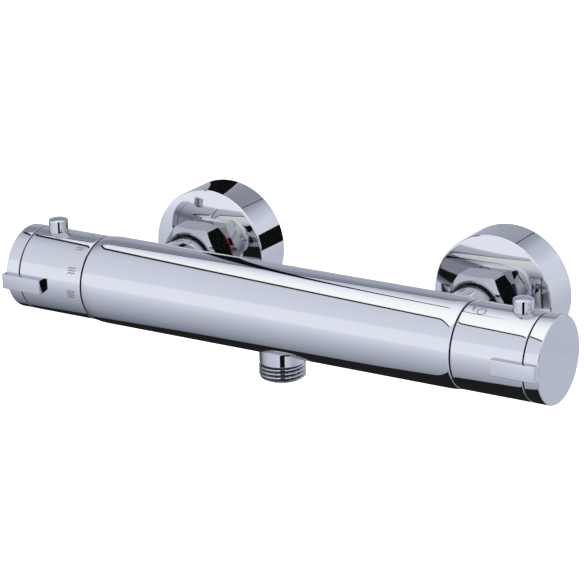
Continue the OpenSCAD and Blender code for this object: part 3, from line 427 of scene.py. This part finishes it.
# A shallow bowl towards the wall, turned round y: along = front - rise + radius^2 / (2 curve),
# then a rounded tip, a straight rim, and the same bowl a skin deeper with a hub inside.
def makeFlange(word, centre):
    s = flangeShape
    bowl = lambda r, lift: s["front"] - s["rise"] + lift + r ** 2 / (2 * s["curve"])
    out = np.linspace(s["hole"] + s["corner"], s["radius"] - s["bevel"], s["facePoints"])
    face = np.stack([bowl(out, 0), out], -1)
    tip = [[bowl(s["radius"] - s["bevel"] * share, lift), s["radius"] - s["bevel"] * share]
           for share, lift in s["tip"]]
    rim = np.stack([np.linspace(bowl(s["radius"], s["rimLift"]), bar["wall"] - s["corner"], s["rimPoints"]),
                    np.full(s["rimPoints"], s["radius"])], -1)
    base = [[bar["wall"], s["radius"] - s["corner"]], [bar["wall"], s["radius"] - s["wall"]]]
    back = np.linspace(s["radius"] - s["wall"], s["hub"], s["backPoints"])
    inside = np.stack([bowl(back, s["skin"]), back], -1)
    hub = [[s["hubEnd"], s["hub"]], [s["hubEnd"], s["hole"]], [bowl(s["hole"], s["corner"]), s["hole"]]]
    profile = np.concatenate([face, tip, rim, base, inside, hub])
    makePiece(word + "WallFlange", [(turned(profile, s["steps"], "y", centre), True, True)], "valve",
              finishes["chrome"], [word + "_flange"], crease=26)


for side, word, marker, markerSlot in ((-1, "hot", "redPlastic", "red_plastic"),
                                       (1, "cold", "bluePlastic", "blue_plastic")):
    inlet = (side * bar["inlet"], 0, 0)
    makeNut(word, inlet)
    makeRing(word, inlet, marker)
    makeEccentric(word, inlet)
    makeFlange(word, inlet)
print("unions and flanges made")


knobShape = {"inner": 95.2, "sleeveOut": 128.85, "radius": 19.4, "bore": 17.9, "steps": 384}
buttonShape = {"x": 119.7, "radius": 4.5, "foot": 17.0, "top": 25.4, "rise": 0.85, "flat": 0.35,
               "domePoints": 14, "shoulder": 0.1, "ease": 0.55, "steps": 144,
               "hole": 4.65, "holeLow": 5.0, "holeHigh": 22.0, "holeSteps": 128}
sleeveShape = {"corner": 0.28, "cornerShare": 0.3, "crown": 0.05, "crownLength": 2.4, "crownFrom": 0.15,
               "crownPoints": 7, "plainFrom": 2, "plainPoints": 9, "shadedEnd": 0.02, "shadedRadius": 19.0,
               "crease": 28}


# Cuts the button's round hole along z through a piece, with an exact boolean that is applied at
# once. The cutter is a closed cylinder.
def cutHole(piece, x, crease):
    b = buttonShape
    profile = [(b["holeLow"], 0), (b["holeLow"], b["hole"]), (b["holeHigh"], b["hole"]), (b["holeHigh"], 0)]
    grid = turned(profile, b["holeSteps"], "z", (x, 0, 0))
    cutter = addObject("holeCutter", makeMesh("holeCutter", [(grid, True, False)]))
    cut = piece.modifiers.new("hole", "BOOLEAN")
    cut.operation, cut.solver, cut.object = "DIFFERENCE", "EXACT", cutter
    bpy.context.view_layer.update()
    depsgraph = bpy.context.evaluated_depsgraph_get()
    made = bpy.data.meshes.new_from_object(piece.evaluated_get(depsgraph))
    piece.modifiers.clear()
    piece.data = made
    smooth(made, crease)
    bpy.data.objects.remove(cutter)


# A sleeve turned round x: at each end a crown of crown * (1 - t)^2 over the crown length, then a
# small round corner. Its end faces, in the gaps to the body and the cap, are near-black as painted shade.
def makeSleeve(word, mirror):
    k, s = knobShape, sleeveShape
    t = np.linspace(s["crownFrom"], 1, s["crownPoints"])
    edge = np.stack([s["crownLength"] * t, k["radius"] - s["crown"] * (1 - t) ** 2], -1)
    inner = edge + (k["inner"], 0)
    outer = (edge * (-1, 1) + (k["sleeveOut"], 0))[::-1]
    plain = np.linspace(k["inner"] + s["crownLength"] + s["plainFrom"],
                        k["sleeveOut"] - s["crownLength"] - s["plainFrom"], s["plainPoints"])
    line = np.stack([plain, np.full(s["plainPoints"], k["radius"])], -1)
    low, corner, small = edge[0, 1], s["corner"], s["corner"] * s["cornerShare"]
    begin = [[k["inner"], k["bore"]], [k["inner"], low - corner], [k["inner"] + small, low - small]]
    close = [[k["sleeveOut"] - small, low - small], [k["sleeveOut"], low - corner],
             [k["sleeveOut"], k["bore"]]]
    profile = np.concatenate([begin, inner, line, outer, close])
    middle, half = (k["inner"] + k["sleeveOut"]) / 2, (k["sleeveOut"] - k["inner"]) / 2
    sleeve = makePiece(word + "KnobSleeve", [(turned(profile, k["steps"], "x"), True, True)],
                       word + "_knob", finishes["chrome"], [word + "_knob_sleeve"],
                       mirror, crease=s["crease"],
                       findGapShade=lambda m: (np.abs(np.abs(m[:, 0]) - middle) > half - s["shadedEnd"])
                       & (np.hypot(m[:, 1], m[:, 2]) < s["shadedRadius"]))
    cutHole(sleeve, (-1 if mirror else 1) * buttonShape["x"], s["crease"])


capShape = {"inner": 129.45, "outer": 136.5, "wall": 2.2, "plug": 16.5, "plugIn": 1.1, "slack": 0.05,
            "edge": 0.3, "rim": 3.2, "rimEase": 0.7, "easeSteps": 9,
            "shadedNear": 0.02, "shadedFar": 1.2, "shadedRadius": 17.5, "shadedBand": 1.5}
leverShape = {"inner": 115.5, "outer": 136.5, "front": -22.8, "back": -18.2, "half": 3.5, "ease": 0.3,
              "lean": {"flow": 3.5, "temperature": -1.2}}  # degrees


# A cup turned round x and closed at its outer end, with a rounded box as its lever, which is
# turned round x by the lean. The faces in its seam with the sleeve are near-black as painted shade.
def makeCap(word, mirror):
    k, s, l = knobShape, capShape, leverShape
    floor, plugEnd, snug = s["outer"] - s["wall"], k["sleeveOut"] - s["plugIn"], k["bore"] - s["slack"]
    cap = eased([(floor, 0, 0), (floor, s["plug"], 0), (plugEnd, s["plug"], 0), (plugEnd, snug, 0),
                 (s["inner"], snug, 0), (s["inner"], k["radius"], s["edge"]),
                 (s["outer"] - s["rim"], k["radius"], 0), (s["outer"], k["radius"], s["rimEase"]),
                 (s["outer"], k["radius"] - s["rim"], 0), (s["outer"], 0, 0)], False, s["easeSteps"])
    paddle = roundedBox((l["inner"], l["front"], -l["half"]), (l["outer"], l["back"], l["half"]), l["ease"])
    lean = math.radians(l["lean"][word])
    paddle = paddle @ np.array([[1, 0, 0], [0, math.cos(lean), math.sin(lean)],
                                [0, -math.sin(lean), math.cos(lean)]])

    def seam(m):
        along, out = np.abs(m[:, 0]), np.hypot(m[:, 1], m[:, 2])
        return ((along < s["inner"] + s["shadedNear"]) & (along > k["sleeveOut"] - s["shadedFar"])
                & (np.abs(out - s["shadedRadius"]) < s["shadedBand"]))

    makePiece(word + "LeverCap", [(turned(cap, k["steps"], "x"), True, False), (paddle, True, False)],
              word + "_knob", finishes["chrome"], [word + "_lever_cap"], mirror,
              crease=30, findGapShade=seam)


# A peg turned round z, whose top is the dome top - rise * (r / radius)^2.
def makeButton(word, mirror):
    b = buttonShape
    r = np.linspace(0, b["radius"] - b["flat"], b["domePoints"])
    dome = np.stack([b["top"] - b["rise"] * (r / b["radius"]) ** 2, r], -1)[::-1]
    stem = eased([(b["foot"], 0, 0), (b["foot"], b["radius"], 0),
                  (b["top"] - b["rise"] - b["shoulder"], b["radius"], b["ease"]),
                  (dome[0, 0], dome[0, 1], 0)], False)
    peg = turned(np.concatenate([stem[:-1], dome]), b["steps"], "z", (b["x"], 0, 0))
    makePiece(word + "Button", [(peg, True, False)], word + "_button", finishes["chrome"],
              [word + "_button"], mirror, crease=34)


for word, mirror in (("temperature", False), ("flow", True)):
    makeSleeve(word, mirror)
    makeCap(word, mirror)
    makeButton(word, mirror)
print("knobs made")


# Grey marks printed on the knobs. Angles are degrees from the top towards the front.
printShape = {"thick": 0.03, "sunk": -0.05, "line": 0.42}
waveMark = {"x": -100.5, "angles": (0, 33, 66, 99), "length": 4.0, "height": 0.28, "pitch": 1.2,
            "closer": {4: 0.82}, "points": 41}
sunMark = {"x": 103.4, "angle": 20.0, "ring": 1.8, "points": 49, "rays": 8, "rayFrom": 0.1, "rayTo": 0.75,
           "rayPoints": 5}
pointerMark = {"x": 99.2, "angle": 16.0, "half": 2.3, "slant": 0.18, "width": 1.05, "narrowing": 0.4,
               "points": 9}
tickMark = {"x": (98.6, 100.4, 102.2), "angle": -6.0, "half": 1.2, "line": 0.5, "points": 5}


# A flat line along (x, s) on the knob's skin, s the distance round it from the top to the front:
# each point is pushed width / 2 to both sides along the line's normal, inside and outside the skin.
def stroke(x, s, width):
    path = np.stack([x, s], -1)
    tangent = np.gradient(path, axis=0)
    tangent /= np.linalg.norm(tangent, axis=1, keepdims=True)
    normal = tangent[:, ::-1] * (-1, 1) * width / 2
    flat = np.stack([path + normal, path - normal, path - normal, path + normal], 1)
    lift = np.array([printShape["thick"], printShape["thick"], printShape["sunk"], printShape["sunk"]])
    radius = knobShape["radius"] + lift
    angle = flat[..., 1] / knobShape["radius"]
    return np.stack([flat[..., 0], -radius * np.sin(angle), radius * np.cos(angle)], -1)


# The length of an arc on the knob's skin: angle times radius.
def arc(degrees):
    return math.radians(degrees) * knobShape["radius"]


# One mark of any number of strokes, their ends closed.
def makeMark(name, strokes, body):
    makePiece(name, [(grid, False, True) for grid in strokes], body, finishes["printing"])


# One to four waves of height * sin(4 pi t), t from -1/2 to 1/2 over the length.
def makeWaves():
    s = waveMark
    t = np.linspace(-0.5, 0.5, s["points"])
    for count, degrees in enumerate(s["angles"], 1):
        rows = (np.arange(count) - (count - 1) / 2) * s["pitch"] * s["closer"].get(count, 1.0)
        waves = [stroke(s["x"] + t * s["length"],
                        arc(degrees) + row + s["height"] * np.sin(t * 4 * math.pi), printShape["line"])
                 for row in rows]
        makeMark("flowWaves%d" % count, waves, "flow_knob")


# A circle of (ring cos a, ring sin a), with rays that carry on outwards at equal angles.
def makeSun():
    s = sunMark
    a = np.linspace(0, 2 * math.pi, s["points"])
    strokes = [stroke(s["x"] + s["ring"] * np.cos(a), arc(s["angle"]) + s["ring"] * np.sin(a),
                      printShape["line"])]
    reach = np.linspace(s["ring"] + s["rayFrom"], s["ring"] + s["rayTo"], s["rayPoints"])
    for k in range(s["rays"]):
        a = k * 2 * math.pi / s["rays"] + math.pi / s["rays"]
        strokes.append(stroke(s["x"] + reach * math.cos(a), arc(s["angle"]) + reach * math.sin(a),
                              printShape["line"]))
    makeMark("sunMark", strokes, "temperature_knob")


# A slanting line that narrows evenly towards the front, and short ticks side by side.
def makePointer():
    s = pointerMark
    reach = np.linspace(-s["half"], s["half"], s["points"])
    slim = stroke(s["x"] + reach * s["slant"], arc(s["angle"]) + reach,
                  (s["width"] - s["narrowing"] * reach)[:, None])
    makeMark("pointerMark", [slim], "temperature_knob")
    s = tickMark
    reach = np.linspace(-s["half"], s["half"], s["points"])
    ticks = [stroke(np.full(s["points"], x), arc(s["angle"]) + reach, s["line"]) for x in s["x"]]
    makeMark("tickMarks", ticks, "temperature_knob")


makeWaves()
makeSun()
makePointer()
print("marks made")


# Screen grey 0 to 255 to light: ((v + 0.055) / 1.055) ^ 2.4 above the toe.
def toLinear(values):
    v = np.asarray(values, float) / 255
    return np.where(v > 0.04045, ((v + 0.055) / 1.055) ** 2.4, v / 12.92)


coolness = {"blue": 13, "white": 245, "fade": 25, "dark": 90, "red": 4, "redDark": 60}


# Cool grey: red a little under the grey, blue over it, and both less where it nears black or white.
def coolGrey(grey):
    c, grey = coolness, np.asarray(grey, float)
    blue = grey + c["blue"] * np.clip(np.minimum((c["white"] - grey) / c["fade"], grey / c["dark"]), 0, 1)
    return np.stack([grey - c["red"] * np.clip(grey / c["redDark"], 0, 1), grey, blue], -1)


# A glowing sheet that only polished metal sees, each corner with its own colour. The light is over
# what chrome gives back, so chrome shows that colour and a second mirroring is darker.
def makePanel(name, grid, colours):
    nu, nv = grid.shape[:2]
    mesh = bpy.data.meshes.new(name)
    points = (grid.reshape(-1, 3) + bar["centre"]) * perMetre
    mesh.from_pydata(points.tolist(), [], weave(nu, nv, False, False).tolist())
    layer = mesh.color_attributes.new("glow", "FLOAT_COLOR", "POINT")
    light = toLinear(colours).reshape(-1, 3) / chromeMirror[1]
    rgba = np.concatenate([light, np.ones((nu * nv, 1))], 1)
    layer.data.foreach_set("color", rgba.astype(np.float32).ravel())
    material = bpy.data.materials.new(name)
    material.use_nodes = True
    tree = material.node_tree
    tree.nodes.clear()
    read, glow = tree.nodes.new("ShaderNodeAttribute"), tree.nodes.new("ShaderNodeEmission")
    read.attribute_name = "glow"
    out = tree.nodes.new("ShaderNodeOutputMaterial")
    tree.links.new(read.outputs["Color"], glow.inputs["Color"])
    tree.links.new(glow.outputs["Emission"], out.inputs["Surface"])
    mesh.materials.append(material)
    panel = addObject(name, mesh)
    panel.visible_camera = panel.visible_diffuse = panel.visible_shadow = False
    panel.visible_transmission = False


tent = {"radius": 950.0, "half": 3000.0, "columns": 201, "first": -112, "last": 248, "step": 0.5,
        # from where to where along the bar the hot side's grey turns into the cold side's, on the
        # back up to the angle backTo and on the front after it
        "crossover": {"back": (20.0, 210.0), "front": (-120.0, 260.0)}, "backTo": -20,
        # degrees round the bar from straight up towards the front, grey on the hot and cold side
        "bands": [(-112, 160, 178), (-90, 152, 202), (-68, 152, 206), (-60, 150, 182), (-54, 132, 135),
                  (-40, 125, 200), (-30, 150, 212), (-12, 178, 216), (0, 192, 216), (14, 200, 215),
                  (62, 209, 215), (66, 223, 218), (94, 225, 218), (99, 209, 213), (124, 182, 194),
                  (156, 151, 174), (188, 110, 165), (204, 92, 172), (232, 72, 180), (248, 76, 180)],
        "endWider": 1.02, "endHole": 0.5, "endStep": 2, "ends": ((-1, "Hot", 150.0), (1, "Cold", 184.0))}


# A cylinder round the bar: (x, -radius sin a, radius cos a), its grey between the bands' and from
# the hot to the cold side by t^2 (3 - 2t).
def makeTent():
    s = tent
    angles, hot, cold = np.array(s["bands"], float).T
    a = np.arange(s["first"], s["last"] + s["step"] / 2, s["step"])
    x = np.linspace(-s["half"], s["half"], s["columns"])
    edges = np.array([s["crossover"]["back" if value < s["backTo"] else "front"] for value in a])
    t = np.clip((x[None, :] - edges[:, :1]) / (edges[:, 1:] - edges[:, :1]), 0, 1)
    t = t * t * (3 - 2 * t)
    grey = np.interp(a, angles, hot)[:, None] * (1 - t) + np.interp(a, angles, cold)[:, None] * t
    turn = np.radians(a)[:, None]
    grid = np.stack([np.broadcast_to(x, grey.shape),
                     np.broadcast_to(-s["radius"] * np.sin(turn), grey.shape),
                     np.broadcast_to(s["radius"] * np.cos(turn), grey.shape)], -1)
    makePanel("reflectorTent", grid, coolGrey(grey))


# A disc across each end of the tent: (-r sin a, r cos a) from a pinhole to past the tent's skin.
def makeTentEnds():
    s = tent
    for side, word, grey in s["ends"]:
        a = np.radians(np.arange(0, 361, s["endStep"]))[:, None]
        r = np.array([[s["endHole"], s["radius"] * s["endWider"]]])
        x = np.full((len(a), 2), side * s["half"])
        makePanel("tentEnd" + word, np.stack([x, -r * np.sin(a), r * np.cos(a)], -1),
                  coolGrey(np.full(x.shape, grey)))


softbox = {"height": 600.0, "corner": (-597.0, 297.0), "down": (0.604, -0.797, 915.0),
           "across": (0.653, 0.757, 1150.0), "edge": 34.0, "backEdge": 36.0, "frameDrop": 1.0,
           "facePoints": 61, "framePoints": 30, "sideGrey": 36, "backGrey": 78,
           # distance towards the wall, grey there
           "steps": [(-300, 251), (-127, 250), (-42, 247), (42, 244), (127, 238), (218, 229), (319, 213),
                     (436, 190), (700, 160)]}


# A level sheet over the bar, at corner + u * down + v * across, with two dark edges of its frame.
def makeSoftbox():
    s = softbox
    corner, down, across = np.array(s["corner"]), np.array(s["down"][:2]), np.array(s["across"][:2])
    points, many = s["facePoints"], s["framePoints"]

    def sheet(u, v, drop=0.0):
        flat = corner + u[:, None, None] * down + v[None, :, None] * across
        return np.concatenate([flat, np.full((len(u), len(v), 1), s["height"] - drop)], -1)

    face = sheet(np.linspace(0, s["down"][2], points), np.linspace(0, s["across"][2], points))
    makePanel("softboxFace", face, coolGrey(np.interp(face[..., 1], *np.array(s["steps"], float).T)))
    side = sheet(np.linspace(-s["backEdge"], s["down"][2], many), np.array([-s["edge"], 0.0]), s["frameDrop"])
    makePanel("softboxSideFrame", side, np.full(side.shape, s["sideGrey"]))
    back = sheet(np.array([-s["backEdge"], 0.0]), np.linspace(0, s["across"][2], many), s["frameDrop"])
    makePanel("softboxBackFrame", back, np.full(back.shape, s["backGrey"]))


boards = {
    "under": {"level": -400, "colour": (27, 27, 28),
              "near": [(-640, 400), (-500, 250), (-394, 137), (-287, 27), (-149, -42), (-91, -128),
                       (-40, -205), (30, -290)],
              "far": [(-1200, 1180), (-1000, 1180), (-820, 1180), (-650, 1180), (-480, 1180),
                      (-320, 1180), (-100, 760), (30, 300)]},
    # corners are (distance ahead, height), and the lower part leans in
    "slot": {"azimuth": 31.5, "half": 190, "corners": ((880, 340), (880, -400), (520, -740)),
             "colour": (14, 14, 16)},
    # name, the x of both edges, y, heights, colour
    "upright": [("backStand", (-104.5, -82.5), 100, (5, 420), (14, 14, 16)),
                ("backBoard", (222, 305), 500, (-84, 92), (12, 12, 13)),
                ("backSeam", (30, 40), 500, (230, 420), (60, 62, 68))],
    "side": {"azimuths": (43, 64), "away": 850, "heights": (60, 560), "colour": (18, 18, 21)},
}


# A plain dark board between two edges, each a row of corners.
def makeBoard(name, near, far, grey):
    grid = np.array([near, far], float)
    makePanel(name, grid, np.broadcast_to(np.array(grey, float), grid.shape))


# Boards under, before, behind and beside the bar, at (sin a, -cos a) where they have an azimuth.
def makeBoards():
    b = boards["under"]
    makeBoard("underBoard", *[[(x, y, b["level"]) for x, y in b[edge]] for edge in ("near", "far")],
              b["colour"])
    b = boards["slot"]
    azimuth, widest = math.radians(b["azimuth"]), b["corners"][0][0]
    ahead = np.array([math.sin(azimuth), -math.cos(azimuth)])
    along = np.array([math.cos(azimuth), math.sin(azimuth)])
    edges = [[(*(ahead * reach + side * along * b["half"] * reach / widest), z) for reach, z in b["corners"]]
             for side in (-1, 1)]
    makeBoard("viewSlot", *edges, b["colour"])
    for name, across, y, heights, colour in boards["upright"]:
        makeBoard(name, *[[(x, y, z) for z in heights] for x in across], colour)
    b = boards["side"]
    edges = [[(math.sin(a) * b["away"], -math.cos(a) * b["away"], z) for z in b["heights"]]
             for a in (math.radians(degrees) for degrees in b["azimuths"])]
    makeBoard("sideBoard", *edges, b["colour"])


makeTent()
makeSoftbox()
makeBoards()
makeTentEnds()
print("reflectors made")


# Metres and watts.
studio = {"floor": -1.6, "floorSize": 12.0, "floorPoints": 9, "floorColour": (0.9, 0.9, 0.9, 1),
          "floorRough": 0.9, "sky": (0.96, 0.97, 1.0, 1), "ambient": 0.55, "white": (1, 1, 1, 1),
          "lamp": 26.0, "lampSize": 1.6, "aim": (0, -0.0766, 0.0075),
          # name, place, share of the power
          "lamps": [("keyLamp", (-0.5, -1.3, 1.7), 1.0), ("fillLamp", (1.5, -0.6, 1.2), 0.5)]}


# 1 where the camera, a mirror or a glass looks straight at the surface.
def seenDirectly(tree):
    path = tree.nodes.new("ShaderNodeLightPath")
    first, second = tree.nodes.new("ShaderNodeMath"), tree.nodes.new("ShaderNodeMath")
    first.operation = second.operation = "MAXIMUM"
    tree.links.new(path.outputs["Is Camera Ray"], first.inputs[0])
    tree.links.new(path.outputs["Is Glossy Ray"], first.inputs[1])
    tree.links.new(first.outputs[0], second.inputs[0])
    tree.links.new(path.outputs["Is Transmission Ray"], second.inputs[1])
    return second.outputs[0]


# A level square grid, pale, and plain white where it is seen directly.
def makeFloor():
    s = studio
    side, count = s["floorSize"] / perMetre, s["floorPoints"]
    x = np.linspace(-side, side, count)
    level = np.full((count, count), s["floor"] / perMetre)
    grid = np.stack([*np.meshgrid(x, x, indexing="ij"), level], -1)
    mesh = bpy.data.meshes.new("floor")
    mesh.from_pydata((grid.reshape(-1, 3) * perMetre).tolist(), [],
                     weave(count, count, False, False).tolist())
    material = bpy.data.materials.new("paleFloor")
    material.use_nodes = True
    tree = material.node_tree
    shader = tree.nodes["Principled BSDF"]
    shader.inputs["Base Color"].default_value = s["floorColour"]
    shader.inputs["Roughness"].default_value = s["floorRough"]
    glow, add = tree.nodes.new("ShaderNodeEmission"), tree.nodes.new("ShaderNodeAddShader")
    glow.inputs["Color"].default_value = s["white"]
    tree.links.new(seenDirectly(tree), glow.inputs["Strength"])
    tree.links.new(shader.outputs[0], add.inputs[0])
    tree.links.new(glow.outputs[0], add.inputs[1])
    tree.links.new(add.outputs[0], tree.nodes["Material Output"].inputs["Surface"])
    mesh.materials.append(material)
    floor = addObject("floor", mesh)


# Soft light from all round, with a white background where it is seen directly.
def makeWorld():
    s = studio
    world = bpy.data.worlds.new("studio")
    world.use_nodes = True
    tree = world.node_tree
    background = tree.nodes["Background"]
    background.inputs["Color"].default_value = s["sky"]
    background.inputs["Strength"].default_value = s["ambient"]
    white, mix = tree.nodes.new("ShaderNodeBackground"), tree.nodes.new("ShaderNodeMixShader")
    white.inputs["Color"].default_value = s["white"]
    tree.links.new(seenDirectly(tree), mix.inputs[0])
    tree.links.new(background.outputs[0], mix.inputs[1])
    tree.links.new(white.outputs[0], mix.inputs[2])
    tree.links.new(mix.outputs[0], tree.nodes["World Output"].inputs["Surface"])
    bpy.context.scene.world = world


# Two square lamps aimed at the bar, which polished metal doesn't mirror.
def makeLamps():
    s = studio
    for name, place, share in s["lamps"]:
        lamp = bpy.data.lights.new(name, "AREA")
        lamp.energy, lamp.size = s["lamp"] * share, s["lampSize"]
        holder = addObject(name, lamp)
        holder.location = place
        holder.rotation_euler = (Vector(s["aim"]) - Vector(place)).to_track_quat("-Z", "Y").to_euler()
        holder.visible_glossy = False


makeFloor()
makeWorld()
makeLamps()


# Degrees, metres, and the photograph's focal length and width in its own pixels.
view = {"azimuth": 32.0, "elevation": 18.74, "roll": -1.30, "distance": 1.26903,
        "target": (0.00583, -0.0766, 0.01678), "focalPixels": 2891.71, "picture": 584.0, "film": 36.0,
        "clip": (0.05, 60.0)}


# The camera stands at target + distance * back, turned round back by the roll.
def makeCamera():
    v = view
    a, e, r = (math.radians(v[k]) for k in ("azimuth", "elevation", "roll"))
    back = Vector((math.sin(a) * math.cos(e), -math.cos(a) * math.cos(e), math.sin(e)))
    right = Vector((math.cos(a), math.sin(a), 0))
    up = back.cross(right)
    tilted = right * math.cos(r) + up * math.sin(r)
    upright = up * math.cos(r) - right * math.sin(r)
    data = bpy.data.cameras.new("camera")
    data.sensor_width = v["film"]
    data.lens = v["focalPixels"] / v["picture"] * v["film"]
    data.clip_start, data.clip_end = v["clip"]
    camera = addObject("camera", data)
    camera.matrix_world = (Matrix.Translation(Vector(v["target"]) + back * v["distance"])
                           @ Matrix((tilted, upright, back)).transposed().to_4x4())
    bpy.context.scene.camera = camera


makeCamera()
bpy.context.scene.view_settings.view_transform = "Standard"
print("stage and camera made")

bpy.context.view_layer.update()
